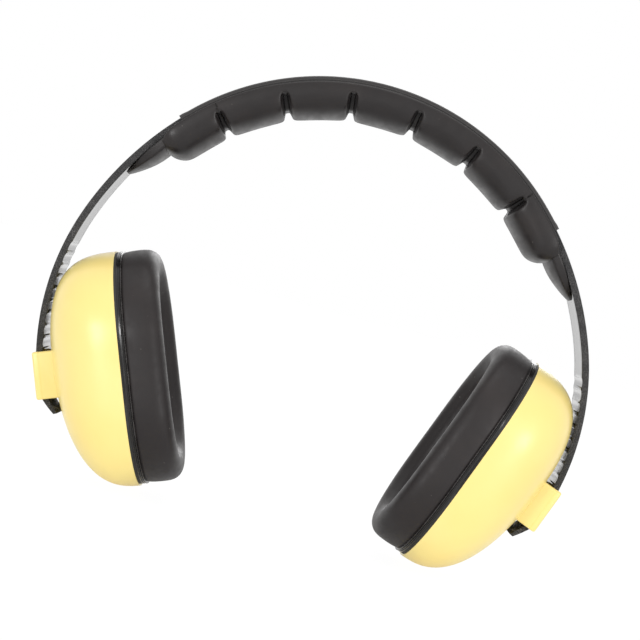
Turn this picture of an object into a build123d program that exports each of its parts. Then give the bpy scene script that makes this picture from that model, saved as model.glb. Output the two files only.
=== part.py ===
"""Earmuff hearing protector: a sprung headband in a padded sleeve, and two ear cups that slide on its arms.

The headband lies in the XZ plane, +X is one ear, +Y is the back and +Z is the crown. The model is drawn about
the centre of the crown arc and lifted at the end, so that it stands on z = 0. Lengths are mm, angles degrees.
"""

import os
from math import atan2, cos, degrees, hypot, radians, sin, sqrt

from build123d import *

# Headband: crown, shoulder and arm arcs of its outer face, tangent where they meet. A station is the angle
# between +Z and the outward normal, and an inset is the depth below the outer face.
CROWN_RADIUS = 84.3
CROWN_END = 44.5
SHOULDER_RADIUS = 106.0
SHOULDER_END = 70.2
ARM_RADIUS = 85.5
BAND_WIDTH = 20.0
BAND_THICKNESS = 2.3

# The band flexes where it leaves the sleeve, so the crown and the arms are separate pieces from there.
SLEEVE_END = 48.0
FLEX_GAP = 0.05

# Detents across the inner face of each arm, and the hooked tail that keeps the cup on.
DETENT_PITCH = 2.8
DETENT_COUNT = 12
DETENT_START = 78.4
DETENT_DEPTH = 0.4
DETENT_RADIUS = 4.7
TAIL_START = 110.8
TAIL_TIP = 117.0
TAIL_BEND = 3.6
TAIL_THICKNESS = 1.4
HOOK_START = 115.0
HOOK_REACH = 1.1

# Sleeve round the crown of the band, and the stiff backing strip of the pad under it.
SLEEVE_WALL = 0.6
SLEEVE_SIDE = 2.0
LAYER_GAP = 0.05
BACKING_THICKNESS = 0.8

# Head pad: foam blocks in a welded skin, with a flat tongue at each end.
PAD_WIDTH = 30.0
PAD_DEPTH = 11.7
PAD_END = 53.0
PILLOW_COUNT = 7
PILLOW_PITCH = 15.9
NOTCH_WIDTH = 2.2
NOTCH_RISE = 2.3
NOTCH_SHOULDER_RISE = 5.6
NOTCH_FLOOR_WIDTH = 14.0
PILLOW_FILLET = 3.0
PAD_SKIN = 0.6
TONGUE_TIP = 61.0
TONGUE_WIDTH = 26.0
TONGUE_THICKNESS = 3.0
TONGUE_TIP_RADIUS = 11.0

# Ear cup: an oval bowl, its rim plane tilted to face up and out, its rim a seat's depth from the arm's
# inner face.
CUP_LENGTH = 76.6
CUP_WIDTH = 63.0
CUP_CORNER = 27.0
MIN_SIDE = 2.0
CUP_DEPTH = 24.9
CUP_WALL = 2.0
DOME_RADIUS = 78.0
DOME_OFFSET = 2.4
SHOULDER_FILLET = 11.0
CUP_STATION = 110.8
CUP_RISE = 3.4
BAND_SEAT = 27.2

# Lug that the arm slides through, and its running clearances.
LUG_LENGTH = 16.3
LUG_CENTRE = 0.35
LUG_WALL = 0.9
LUG_SIDE_WALL = 2.2
LUG_FILLET = 0.8
SLIDE_CLEARANCE = 0.25
SIDE_CLEARANCE = 0.25

# Cushion plate that snaps into the cup's mouth, with a seal ring under the rim.
PLATE_THICKNESS = 2.0
PLATE_SETBACK = 0.3
SPIGOT_HEIGHT = 4.0
SPIGOT_WALL = 1.6
SPIGOT_CLEARANCE = 0.15
SNAP_BEAD = 0.35
SNAP_HEIGHT = 0.8
SNAP_FLOOR = 2.4
SNAP_CLEARANCE = 0.1
SEAL_WIDTH = 1.0
SEAL_DEPTH = 0.8

# Ear cushion: a foam ring in a thin skin, open in the middle for the ear.
CUSHION_DEPTH = 12.2
CUSHION_SETBACK = 0.6
EAR_LENGTH = 55.0
EAR_WIDTH = 40.0
EAR_CORNER = 17.0
CREST_FILLET = 4.4
CUSHION_SKIN = 0.6
WELD_FLANGE = 0.5

# Sound-absorbing foam in the cup, behind a cloth.
CLOTH_THICKNESS = 0.8
LINER_GAP = 0.4
LAYER_STEP = 0.2


# Places worked out from the driving sizes.
def arc_centre_from(centre, step, station):
    """Return a centre moved inwards by step along the normal at a station."""
    return centre[0] - step * sin(radians(station)), centre[1] - step * cos(radians(station))


CROWN_CENTRE = (0.0, 0.0)
SHOULDER_CENTRE = arc_centre_from(CROWN_CENTRE, SHOULDER_RADIUS - CROWN_RADIUS, CROWN_END)
ARM_CENTRE = arc_centre_from(SHOULDER_CENTRE, ARM_RADIUS - SHOULDER_RADIUS, SHOULDER_END)
BAND_STANDOFF = BAND_SEAT + BAND_THICKNESS
SLEEVE_TOP = -(SLEEVE_WALL + LAYER_GAP)
SLEEVE_BOTTOM = BAND_THICKNESS + LAYER_GAP + SLEEVE_WALL
BACKING_TOP = SLEEVE_BOTTOM + LAYER_GAP
PAD_TOP = BACKING_TOP + BACKING_THICKNESS + LAYER_GAP


def arc_at(station):
    """Return the centre and radius of the arc that holds a station on the +X side."""
    if station <= CROWN_END:
        return CROWN_CENTRE, CROWN_RADIUS
    if station <= SHOULDER_END:
        return SHOULDER_CENTRE, SHOULDER_RADIUS
    return ARM_CENTRE, ARM_RADIUS


def band_point(station, inset):
    """Return the point at a station and inset. Negative stations are on the -X side."""
    centre, radius = arc_at(abs(station))
    reach = radius - inset
    side = 1 if station >= 0 else -1
    angle = radians(abs(station))
    return Vector(side * (centre[0] + reach * sin(angle)), 0, centre[1] + reach * cos(angle))


def inset_of(point):
    """Return how deep a point lies below the band's outer face."""
    across = abs(point.X)
    for centre, radius, end in (
        (CROWN_CENTRE, CROWN_RADIUS, CROWN_END),
        (SHOULDER_CENTRE, SHOULDER_RADIUS, SHOULDER_END),
        (ARM_CENTRE, ARM_RADIUS, 180.0),
    ):
        if degrees(atan2(across - centre[0], point.Z - centre[1])) <= end:
            break
    return radius - hypot(across - centre[0], point.Z - centre[1])


def band_arcs(start, end, inset):
    """Return the arcs along the band from one station to another, at one inset."""
    joints = [-SHOULDER_END, -CROWN_END, CROWN_END, SHOULDER_END]
    inner = sorted(s for s in joints if min(start, end) < s < max(start, end))
    if end < start:
        inner.reverse()
    stops = [start, *inner, end]
    return [
        Edge.make_three_point_arc(
            band_point(a, inset), band_point((a + b) / 2, inset), band_point(b, inset)
        )
        for a, b in zip(stops, stops[1:])
    ]


def outline_solid(edges, width):
    """Return the solid of a closed outline in the XZ plane, centred on it and as wide as stated along Y."""
    return extrude(Face(Wire(edges)), amount=width / 2, dir=(0, 1, 0), both=True)


def strip(start, end, top, bottom, width):
    """Return a strip along the band between two stations and two insets."""
    return outline_solid(
        [
            *band_arcs(start, end, top),
            Edge.make_line(band_point(end, top), band_point(end, bottom)),
            *band_arcs(end, start, bottom),
            Edge.make_line(band_point(start, bottom), band_point(start, top)),
        ],
        width,
    )


def stations_for(length, inset):
    """Return the angle that a length along the crown spans at an inset."""
    return degrees(length / (CROWN_RADIUS - inset))


# Headband
def headband_crown():
    """The middle of the band, hidden in the sleeve."""
    end = SLEEVE_END - stations_for(FLEX_GAP, 0)
    return strip(-end, end, 0, BAND_THICKNESS, BAND_WIDTH)


def headband_arm():
    """The +X arm, with detents across its inner face and a hooked, tapered tail."""
    hook_root = TAIL_BEND * (HOOK_START - TAIL_START) / (TAIL_TIP - TAIL_START) + TAIL_THICKNESS
    tail = [
        band_point(TAIL_START, 0),
        band_point(TAIL_TIP, TAIL_BEND),
        band_point(TAIL_TIP, TAIL_BEND + TAIL_THICKNESS),
        band_point(HOOK_START, hook_root + HOOK_REACH),
        band_point(HOOK_START, hook_root),
        band_point(TAIL_START, BAND_THICKNESS),
    ]
    arm = outline_solid(
        [
            *band_arcs(SLEEVE_END, TAIL_START, 0),
            *(Edge.make_line(a, b) for a, b in zip(tail, tail[1:])),
            *band_arcs(TAIL_START, SLEEVE_END, BAND_THICKNESS),
            Edge.make_line(band_point(SLEEVE_END, BAND_THICKNESS), band_point(SLEEVE_END, 0)),
        ],
        BAND_WIDTH,
    )
    for i in range(DETENT_COUNT):
        axis = band_point(
            DETENT_START + i * DETENT_PITCH, BAND_THICKNESS - DETENT_DEPTH + DETENT_RADIUS
        )
        arm -= Pos(axis) * Rot(90, 0, 0) * Cylinder(DETENT_RADIUS, 2 * BAND_WIDTH)
    return arm


def headband_cover():
    """The flat sleeve that the crown of the band is drawn through."""
    width = BAND_WIDTH + 2 * (SIDE_CLEARANCE + SLEEVE_SIDE)
    sleeve = strip(-SLEEVE_END, SLEEVE_END, SLEEVE_TOP, SLEEVE_BOTTOM, width)
    return sleeve - strip(
        -SLEEVE_END - 1,
        SLEEVE_END + 1,
        -LAYER_GAP,
        BAND_THICKNESS + LAYER_GAP,
        BAND_WIDTH + 2 * SIDE_CLEARANCE,
    )


# Head pad
def head_pad_backing():
    """The stiff strip that the pad's foam is glued to."""
    return strip(
        -SLEEVE_END,
        SLEEVE_END,
        BACKING_TOP,
        BACKING_TOP + BACKING_THICKNESS,
        PAD_WIDTH - 2 * PAD_SKIN,
    )


def pillow_stations():
    """Return the first and last station of each pillow."""
    half_notch = stations_for(NOTCH_WIDTH, PAD_DEPTH) / 2
    first = -PILLOW_COUNT * PILLOW_PITCH / 2
    ends = [first + i * PILLOW_PITCH for i in range(PILLOW_COUNT + 1)]
    spans = [(a + half_notch, b - half_notch) for a, b in zip(ends, ends[1:])]
    spans[0] = (-PAD_END, spans[0][1])
    spans[-1] = (spans[-1][0], PAD_END)
    return spans


def pillow(start, end, shrink):
    """Return one pillow, rounded on every edge but the upper ones and shrunk evenly on those sides."""
    turn = stations_for(shrink, PAD_DEPTH)
    block = strip(
        start + turn, end - turn, PAD_TOP, PAD_DEPTH - shrink, PAD_WIDTH - 2 * shrink
    )
    middle = (PAD_TOP + PAD_DEPTH) / 2
    seam_x = band_point(CROWN_END, PAD_DEPTH - shrink).X
    lower = [
        e
        for e in block.edges()
        if inset_of(e @ 0.5) > middle - 1
        and not (abs((e @ 0).X - (e @ 1).X) < 0.01 and abs(abs((e @ 0).X) - seam_x) < 0.1)
    ]
    return fillet(lower, PILLOW_FILLET - shrink)


def head_pad_foam():
    """The foam blocks, one in each pillow."""
    return Compound([pillow(a, b, PAD_SKIN) for a, b in pillow_stations()])


def tongue(side):
    """Return the flat, round-ended tongue of the pad that lies along an arm."""
    top = BAND_THICKNESS + SLIDE_CLEARANCE
    flap = strip(SLEEVE_END, TONGUE_TIP, top, top + TONGUE_THICKNESS, TONGUE_WIDTH)
    tip = band_point(TONGUE_TIP, top + TONGUE_THICKNESS / 2)
    corners = [
        e
        for e in flap.edges()
        if abs((e @ 0).Y - (e @ 1).Y) < 0.01 and (e @ 0.5 - tip).length < TONGUE_WIDTH / 2 + 1
        and e.length < TONGUE_THICKNESS + 0.5
    ]
    flap = fillet(corners, TONGUE_TIP_RADIUS)
    return flap if side > 0 else mirror(flap, about=Plane.YZ)


def head_pad_skin():
    """The welded vinyl skin: hollow pillows, the pinched floors between them and the end tongues."""
    spans = pillow_stations()
    wall = stations_for(PAD_SKIN / 2, PAD_DEPTH)
    skin = Part() + [pillow(a, b, 0) for a, b in spans]
    for (_, a), (b, _) in zip(spans, spans[1:]):
        a, b = a - wall, b + wall
        skin += strip(a, b, PAD_TOP, PAD_DEPTH - NOTCH_RISE, NOTCH_FLOOR_WIDTH)
        skin += strip(
            a, b, PAD_TOP, PAD_DEPTH - NOTCH_SHOULDER_RISE, PAD_WIDTH - 2 * PILLOW_FILLET
        )
    skin += [tongue(1), tongue(-1)]
    return skin - [pillow(a, b, PAD_SKIN) for a, b in spans]


# Ear cup, drawn with X up along the rim, Z out of the cup and the rim in the plane Z = 0
def ring_outline(grow):
    """Return the cup's oval outline, grown on every side. Its corners leave a flat on every side."""
    corner = min(CUP_CORNER, (min(CUP_LENGTH, CUP_WIDTH) - MIN_SIDE) / 2)
    return RectangleRounded(CUP_LENGTH + 2 * grow, CUP_WIDTH + 2 * grow, corner + grow)


def ear_outline(grow):
    """Return the ear opening's outline, grown on every side. Its corners leave a flat on every side."""
    corner = min(EAR_CORNER, (min(EAR_LENGTH, EAR_WIDTH) - MIN_SIDE) / 2)
    return RectangleRounded(EAR_LENGTH + 2 * grow, EAR_WIDTH + 2 * grow, corner + grow)


def slab(outline, low, high):
    """Return an outline extruded from one height to another."""
    return Pos(0, 0, low) * extrude(outline, amount=high - low)


def bowl(shrink):
    """Return the cup's solid outer form, shrunk evenly except at the rim."""
    radius = DOME_RADIUS - shrink
    dome = Pos(DOME_OFFSET, 0, CUP_DEPTH - DOME_RADIUS) * Rot(90, 0, 0) * Sphere(radius)
    form = slab(ring_outline(-shrink), 0, 2 * CUP_DEPTH) & dome
    cap = form.faces().filter_by(GeomType.SPHERE)[0]
    return fillet(cap.edges(), SHOULDER_FILLET - shrink)


def cup_shell():
    """The moulded cup with its lug, the slot for the arm and the groove for the plate's snap bead."""
    slot_width = BAND_WIDTH + 2 * SIDE_CLEARANCE
    lug_top = BAND_STANDOFF + SLIDE_CLEARANCE + LUG_WALL
    lug_root = CUP_DEPTH - CUP_WALL - 1
    lug = Pos(LUG_CENTRE, 0, (lug_top + lug_root) / 2) * Box(
        LUG_LENGTH, slot_width + 2 * LUG_SIDE_WALL, lug_top - lug_root
    )
    lug = fillet(lug.faces().sort_by(Axis.Z)[-1].edges(), LUG_FILLET)
    arm_axis = Pos(-CUP_RISE, 0, BAND_STANDOFF - ARM_RADIUS) * Rot(90, 0, 0)
    slot = arm_axis * Cylinder(ARM_RADIUS + SLIDE_CLEARANCE, slot_width)
    shell = bowl(0) + (lug - slot) - bowl(CUP_WALL)
    groove = slab(
        ring_outline(SNAP_BEAD + SNAP_CLEARANCE - CUP_WALL - SPIGOT_CLEARANCE),
        SNAP_FLOOR - SNAP_CLEARANCE,
        SNAP_FLOOR + SNAP_HEIGHT + SNAP_CLEARANCE,
    )
    return shell - groove


def seal_outline(grow):
    """Return the middle line of the seal ring, under the cup's wall, grown on every side."""
    return ring_outline(grow - CUP_WALL / 2)


def cushion_plate():
    """The snap-in plate that carries the cushion, with a groove for the seal ring."""
    spigot = -CUP_WALL - SPIGOT_CLEARANCE
    plate = slab(ring_outline(-PLATE_SETBACK), -PLATE_THICKNESS, 0)
    plate += slab(ring_outline(spigot), 0, SPIGOT_HEIGHT)
    plate += slab(ring_outline(spigot + SNAP_BEAD), SNAP_FLOOR, SNAP_FLOOR + SNAP_HEIGHT)
    plate -= slab(ring_outline(spigot - SPIGOT_WALL), 0, SPIGOT_HEIGHT)
    plate -= slab(ear_outline(0), -PLATE_THICKNESS, 0)
    half = SEAL_WIDTH / 2 + LAYER_GAP
    return plate - slab(seal_outline(half) - seal_outline(-half), -SEAL_DEPTH, 0)


def cup_seal():
    """The seal ring between the plate and the cup's rim."""
    half = SEAL_WIDTH / 2
    return slab(seal_outline(half) - seal_outline(-half), -SEAL_DEPTH, 0)


def cushion_ring(shrink):
    """Return the cushion's ring, rounded at its crest and shrunk evenly except at the plate."""
    low = -PLATE_THICKNESS - CUSHION_DEPTH + shrink
    outline = ring_outline(-CUSHION_SETBACK - shrink) - ear_outline(shrink)
    ring = slab(outline, low, -PLATE_THICKNESS)
    return fillet(ring.faces().sort_by(Axis.Z)[0].edges(), CREST_FILLET - shrink)


def cushion_skin():
    """The cushion's skin, open towards the plate, with its welded flange."""
    flange = slab(
        ring_outline(0) - ring_outline(-CUSHION_SETBACK - CUSHION_SKIN / 2),
        -PLATE_THICKNESS - WELD_FLANGE,
        -PLATE_THICKNESS,
    )
    return cushion_ring(0) + flange - cushion_ring(CUSHION_SKIN)


def cushion_foam():
    """The foam ring in the cushion."""
    return cushion_ring(CUSHION_SKIN)


def cup_foam():
    """The sound-absorbing foam that fills the bottom of the cup."""
    floor = SPIGOT_HEIGHT + CLOTH_THICKNESS + 2 * LAYER_STEP
    return bowl(CUP_WALL + LINER_GAP) - slab(ring_outline(0), 0, floor)


def foam_cloth():
    """The cloth over the foam, held by the end of the plate's spigot."""
    floor = SPIGOT_HEIGHT + LAYER_STEP
    return slab(ring_outline(-CUP_WALL - LINER_GAP), floor, floor + CLOTH_THICKNESS)


# Assembly
def cup_location():
    """Return where the +X cup stands: square to the arm at its station."""
    out = Vector(sin(radians(CUP_STATION)), 0, cos(radians(CUP_STATION)))
    up = Vector(-out.Z, 0, out.X)
    rim = band_point(CUP_STATION, 0) - out * BAND_STANDOFF + up * CUP_RISE
    return Plane(origin=rim, x_dir=up, z_dir=out).location


def both_sides(name, shape):
    """Return a piece of the +X side and its mirror image, with their names."""
    return {f"{name}_right": shape, f"{name}_left": mirror(shape, about=Plane.YZ)}


def earmuff():
    """Return every piece by name, before it is lifted."""
    pieces = {
        "headband_crown": headband_crown(),
        "headband_cover": headband_cover(),
        "head_pad_backing": head_pad_backing(),
        "head_pad_foam": head_pad_foam(),
        "head_pad_skin": head_pad_skin(),
    }
    pieces |= both_sides("headband_arm", headband_arm())
    place = cup_location()
    for make in (
        cup_shell,
        cushion_plate,
        cup_seal,
        cushion_skin,
        cushion_foam,
        cup_foam,
        foam_cloth,
    ):
        pieces |= both_sides(make.__name__, place * make())
    return pieces


if __name__ == "__main__":
    os.makedirs("parts", exist_ok=True)
    pieces = earmuff()
    lift = -min(piece.bounding_box().min.Z for piece in pieces.values())
    for name, piece in pieces.items():
        export_step(Pos(0, 0, lift) * piece, f"parts/{name}.step")
    flex = band_point(SLEEVE_END, 0)
    rim = cup_location().position
    print(f"lift {lift:.4f}")
    print(f"flex pivot x {flex.X:.4f} z {flex.Z + lift:.4f}")
    print(f"slide centre x {ARM_CENTRE[0]:.4f} z {ARM_CENTRE[1] + lift:.4f}")
    print(f"cup rim centre x {rim.X:.4f} z {rim.Z + lift:.4f}")
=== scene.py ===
"""Earmuff hearing protector: the look of every visible piece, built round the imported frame.

The headband lies in the XZ plane: +X is the right ear, -Y is the front and +Z is the crown.
Pieces are modelled in millimetres and turned into metres when they are settled in the frame.
"""

import logging
from contextlib import contextmanager
from dataclasses import astuple, dataclass
from enum import Enum
from math import ceil, cos, hypot, pi, radians, sin, sqrt, tan
from typing import Any, Callable, Iterator, Sequence

import bmesh
import bpy
from mathutils import Matrix, Vector


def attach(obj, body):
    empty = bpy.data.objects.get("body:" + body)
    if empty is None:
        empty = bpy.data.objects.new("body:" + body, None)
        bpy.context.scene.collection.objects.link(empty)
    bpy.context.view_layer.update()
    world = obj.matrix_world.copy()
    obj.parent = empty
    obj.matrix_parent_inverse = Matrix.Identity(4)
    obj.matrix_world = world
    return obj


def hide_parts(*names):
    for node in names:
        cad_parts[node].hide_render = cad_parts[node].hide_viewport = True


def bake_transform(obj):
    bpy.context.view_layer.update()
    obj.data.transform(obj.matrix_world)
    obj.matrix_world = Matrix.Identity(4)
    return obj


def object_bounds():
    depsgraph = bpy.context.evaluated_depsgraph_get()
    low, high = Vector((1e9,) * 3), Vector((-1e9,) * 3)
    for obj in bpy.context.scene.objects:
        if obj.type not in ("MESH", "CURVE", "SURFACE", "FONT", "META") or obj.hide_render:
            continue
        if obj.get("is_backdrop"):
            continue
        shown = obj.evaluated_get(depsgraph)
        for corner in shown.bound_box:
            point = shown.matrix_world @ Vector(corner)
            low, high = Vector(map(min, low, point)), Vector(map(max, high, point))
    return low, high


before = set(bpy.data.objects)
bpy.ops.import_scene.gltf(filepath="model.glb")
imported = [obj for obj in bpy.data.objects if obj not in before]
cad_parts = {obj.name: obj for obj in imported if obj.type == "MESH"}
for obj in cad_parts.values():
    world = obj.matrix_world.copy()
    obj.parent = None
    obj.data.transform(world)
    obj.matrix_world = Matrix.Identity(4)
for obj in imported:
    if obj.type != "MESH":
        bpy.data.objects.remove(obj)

CAD_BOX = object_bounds()
LOG = logging.getLogger("earmuff")
MM = 0.001
# How close two places count as one, in millimetres, when points are picked and when they are merged
NEAR = 0.01
TOUCHING = 0.002
# How much of an edge's or a face's direction has to lie along an axis
ALONG = 0.8
FACING = 0.9

Place = Callable[[Vector, Vector], bool]
Point = tuple[float, float, float]


class Side(Enum):
    """A side of the head, as its sign along X."""

    RIGHT = 1
    LEFT = -1

    @property
    def word(self) -> str:
        """The side's name, as the bodies and nodes spell it."""
        return self.name.lower()


class Slot(Enum):
    """The record's material slots, one for each kind of finish."""

    BAND = "band_plastic"
    SLEEVE = "sleeve_fabric"
    PAD = "pad_vinyl"
    CUP = "cup_plastic"
    PLATE = "plate_plastic"
    CUSHION = "cushion_vinyl"
    CUSHION_FOAM = "cushion_foam"
    CUP_FOAM = "acoustic_foam"
    LINER = "liner_cloth"


def clamp(value: float) -> float:
    """Return a value held between 0 and 1."""
    return min(max(value, 0), 1)


def ease(share: float) -> float:
    """Return a share from 0 to 1 with a soft start and a soft end."""
    return share * share * (3 - 2 * share)


# Modelling bench
class Bench:
    """Operators that shape one mesh at a time, with what they act on chosen in code."""

    @staticmethod
    def clear() -> None:
        """Leave edit mode and deselect every object."""
        if bpy.context.mode != "OBJECT":
            bpy.ops.object.mode_set(mode="OBJECT")
        bpy.ops.object.select_all(action="DESELECT")

    @staticmethod
    def pick(piece: bpy.types.Object) -> None:
        """Make a piece the only one selected, and the active one.

        Args:
            piece: The piece.
        """
        Bench.clear()
        piece.select_set(True)
        bpy.context.view_layer.objects.active = piece

    @staticmethod
    def named(name: str) -> bpy.types.Object:
        """Name the primitive that was just added and return it.

        Args:
            name: The piece's name.

        Returns:
            The piece.
        """
        piece = bpy.context.object
        piece.name = piece.data.name = name
        return piece

    @staticmethod
    def apply(piece: bpy.types.Object) -> None:
        """Apply a piece's place, turn and scale to its mesh."""
        Bench.pick(piece)
        bpy.ops.object.transform_apply(location=True, rotation=True, scale=True)

    @staticmethod
    @contextmanager
    def editing(piece: bpy.types.Object) -> Iterator[None]:
        """Hold a piece in edit mode, with everything in it selected.

        Args:
            piece: The piece.

        Returns:
            A context that leaves edit mode at its end.
        """
        Bench.pick(piece)
        bpy.ops.object.mode_set(mode="EDIT")
        bpy.ops.mesh.select_all(action="SELECT")
        yield
        bpy.ops.object.mode_set(mode="OBJECT")

    @staticmethod
    def choose(piece: bpy.types.Object, kind: str, test: Place) -> None:
        """Select the faces or edges of a piece in edit mode that pass a test.

        Args:
            piece: The piece in edit mode.
            kind: FACE or EDGE.
            test: Takes an element's middle, and its normal or its direction.
        """
        bpy.ops.mesh.select_mode(type=kind)
        bpy.ops.mesh.select_all(action="DESELECT")
        mesh = bmesh.from_edit_mesh(piece.data)
        if kind == "FACE":
            items = [(face, face.calc_center_median(), face.normal) for face in mesh.faces]
        else:
            ends = [(edge, *(v.co for v in edge.verts)) for edge in mesh.edges]
            items = [(edge, (a + b) / 2, (b - a).normalized()) for edge, a, b in ends]
        for item, middle, way in items:
            if test(middle, way):
                item.select_set(True)
        bmesh.update_edit_mesh(piece.data)

    @staticmethod
    def extrude(step: Point) -> None:
        """Extrude what is selected by a step."""
        bpy.ops.mesh.extrude_region_move(TRANSFORM_OT_translate={"value": step})

    @staticmethod
    def face_outwards() -> None:
        """Turn every face of the piece in edit mode outwards."""
        bpy.ops.mesh.select_all(action="SELECT")
        bpy.ops.mesh.normals_make_consistent(inside=False)

    @staticmethod
    def round_edges(piece: bpy.types.Object, test: Place, offset: float, segments: int) -> None:
        """Bevel the edges of a piece that pass a test.

        Args:
            piece: The piece.
            test: Takes an edge's middle and its direction.
            offset: The bevel's size.
            segments: How many faces go round it.
        """
        with Bench.editing(piece):
            Bench.choose(piece, "EDGE", test)
            bpy.ops.mesh.bevel(offset=offset, segments=segments, affect="EDGES")

    @staticmethod
    def modify(piece: bpy.types.Object, kind: str, **settings: Any) -> None:
        """Add a modifier with its settings and apply it.

        Args:
            piece: The piece that gets it.
            kind: The modifier's type.
            **settings: The modifier's properties.
        """
        Bench.pick(piece)
        modifier = piece.modifiers.new(kind.lower(), kind)
        for key, value in settings.items():
            setattr(modifier, key, value)
        bpy.ops.object.modifier_apply(modifier=modifier.name)

    @staticmethod
    def cut(piece: bpy.types.Object, tool: bpy.types.Object, how: str = "DIFFERENCE") -> None:
        """Cut a piece with a tool, or join them, and delete the tool."""
        Bench.modify(piece, "BOOLEAN", object=tool, operation=how, solver="EXACT")
        bpy.data.objects.remove(tool)

    @staticmethod
    def box(name: str, size: Point, middle: Point) -> bpy.types.Object:
        """Add a box of a size about a middle point.

        Args:
            name: The piece's name.
            size: Its size along X, Y and Z.
            middle: Its middle point.

        Returns:
            The box.
        """
        Bench.clear()
        bpy.ops.mesh.primitive_cube_add(size=1, location=middle)
        piece = Bench.named(name)
        piece.scale = size
        Bench.apply(piece)
        return piece

    @staticmethod
    def rod(name: str, radius: float, length: float, middle: Point, sides: int) -> bpy.types.Object:
        """Add a round rod that lies along Y.

        Args:
            name: The piece's name.
            radius: Its radius.
            length: Its length.
            middle: Its middle point.
            sides: How many faces go round it.

        Returns:
            The piece.
        """
        Bench.clear()
        bpy.ops.mesh.primitive_cylinder_add(
            vertices=sides, radius=radius, depth=length, location=middle, rotation=(pi / 2, 0, 0)
        )
        piece = Bench.named(name)
        Bench.apply(piece)
        return piece

    @staticmethod
    def slab(
        name: str, start: float, end: float, top: float, bottom: float, width: float, step: float
    ) -> bpy.types.Object:
        """Add a slab that runs along X, cut into short lengths so that it can bend.

        Args:
            name: The piece's name.
            start: Where it starts along X.
            end: Where it ends along X.
            top: Its upper height.
            bottom: Its lower height.
            width: Its width along Y.
            step: The length of one cut.

        Returns:
            The piece.
        """
        Bench.clear()
        cuts = ceil((end - start) / step)
        bpy.ops.mesh.primitive_grid_add(
            x_subdivisions=cuts, y_subdivisions=4, size=1, location=((start + end) / 2, 0, top)
        )
        piece = Bench.named(name)
        piece.scale = (end - start, width, 1)
        Bench.apply(piece)
        with Bench.editing(piece):
            Bench.extrude((0, 0, bottom - top))
            Bench.face_outwards()
        return piece

    @staticmethod
    def copy(piece: bpy.types.Object, name: str) -> bpy.types.Object:
        """Return a copy of a piece with a mesh of its own.

        Args:
            piece: The piece.
            name: The copy's name.

        Returns:
            The copy.
        """
        other = piece.copy()
        other.data = piece.data.copy()
        other.name = other.data.name = name
        bpy.context.collection.objects.link(other)
        return other

    @staticmethod
    def mirror(piece: bpy.types.Object) -> None:
        """Move a piece to the other side of X = 0, its faces still outwards."""
        piece.data.transform(Matrix.Scale(-1, 4, (1, 0, 0)))
        piece.data.flip_normals()

    @staticmethod
    def mirrored(piece: bpy.types.Object, name: str) -> bpy.types.Object:
        """Return a mirrored copy of a piece on the other side of X = 0.

        Args:
            piece: The piece.
            name: The copy's name.

        Returns:
            The mirrored copy.
        """
        other = Bench.copy(piece, name)
        Bench.mirror(other)
        return other

    @staticmethod
    def smooth(piece: bpy.types.Object, angle: float = 32.0) -> None:
        """Shade a piece smooth, with sharp edges past an angle in degrees."""
        Bench.pick(piece)
        bpy.ops.object.shade_smooth_by_angle(angle=radians(angle))

    @staticmethod
    def keep_flat_place(piece: bpy.types.Object) -> None:
        """Store where each point lies before bending, so that patterns can follow the band."""
        store = piece.data.attributes.new("flat", "FLOAT_VECTOR", "POINT")
        store.data.foreach_set("vector", [c * MM for v in piece.data.vertices for c in v.co])

    @staticmethod
    def mould(piece: bpy.types.Object, shape: Callable[[Vector], Vector]) -> None:
        """Move every point of a soft piece by a rule.

        Args:
            piece: The piece.
            shape: Takes a point's place and returns its new one.
        """
        for point in piece.data.vertices:
            point.co = shape(point.co)
        piece.data.update()


# Shader building
class Value:
    """A shader socket that takes Python's maths operators."""

    def __init__(self, surface: "Surface", socket: bpy.types.NodeSocket) -> None:
        """Wrap a socket of a surface's node tree."""
        self.surface = surface
        self.socket = socket

    def _math(self, operation: str, *values: Any) -> "Value":
        """Return the result of a Math node on some values."""
        inputs = dict(enumerate(values))
        return self.surface.node("ShaderNodeMath", {"operation": operation}, inputs)[0]

    def __add__(self, other: Any) -> "Value":
        """Add a number or a value."""
        return self._math("ADD", self, other)

    __radd__ = __add__

    def __mul__(self, other: Any) -> "Value":
        """Multiply by a number or a value."""
        return self._math("MULTIPLY", self, other)

    __rmul__ = __mul__

    def __sub__(self, other: Any) -> "Value":
        """Take a number or a value away."""
        return self._math("SUBTRACT", self, other)

    def __rsub__(self, other: Any) -> "Value":
        """Take this value from a number."""
        return self._math("SUBTRACT", other, self)

    def __gt__(self, other: Any) -> "Value":
        """Return 1 where this value is the larger."""
        return self._math("GREATER_THAN", self, other)

    def __abs__(self) -> "Value":
        """Return the value without its sign."""
        return self._math("ABSOLUTE", self)

    def wave(self, per_metre: float) -> "Value":
        """Return a sine along this length, with so many periods in a metre."""
        return self._math("SINE", self * (2 * pi * per_metre))

    def ramp(self, low: float, high: float, start: float = 0.0, end: float = 1.0) -> "Value":
        """Return start below low and end above high, with a smooth step between them.

        Args:
            low: Where the step starts.
            high: Where the step ends.
            start: The value below low.
            end: The value above high.

        Returns:
            The stepped value.
        """
        settings = {"interpolation_type": "SMOOTHSTEP"}
        inputs = {"Value": self, "From Min": low, "From Max": high, "To Min": start, "To Max": end}
        return self.surface.node("ShaderNodeMapRange", settings, inputs)[0]


def colour(red: int, green: int, blue: int) -> tuple[float, float, float, float]:
    """Return the linear colour of an sRGB one.

    Args:
        red: Its red part, from 0 to 255.
        green: Its green part.
        blue: Its blue part.

    Returns:
        The linear colour, opaque.
    """
    parts = [c / 255 for c in (red, green, blue)]
    linear = [c / 12.92 if c <= 0.04045 else ((c + 0.055) / 1.055) ** 2.4 for c in parts]
    return (*linear, 1.0)


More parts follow.
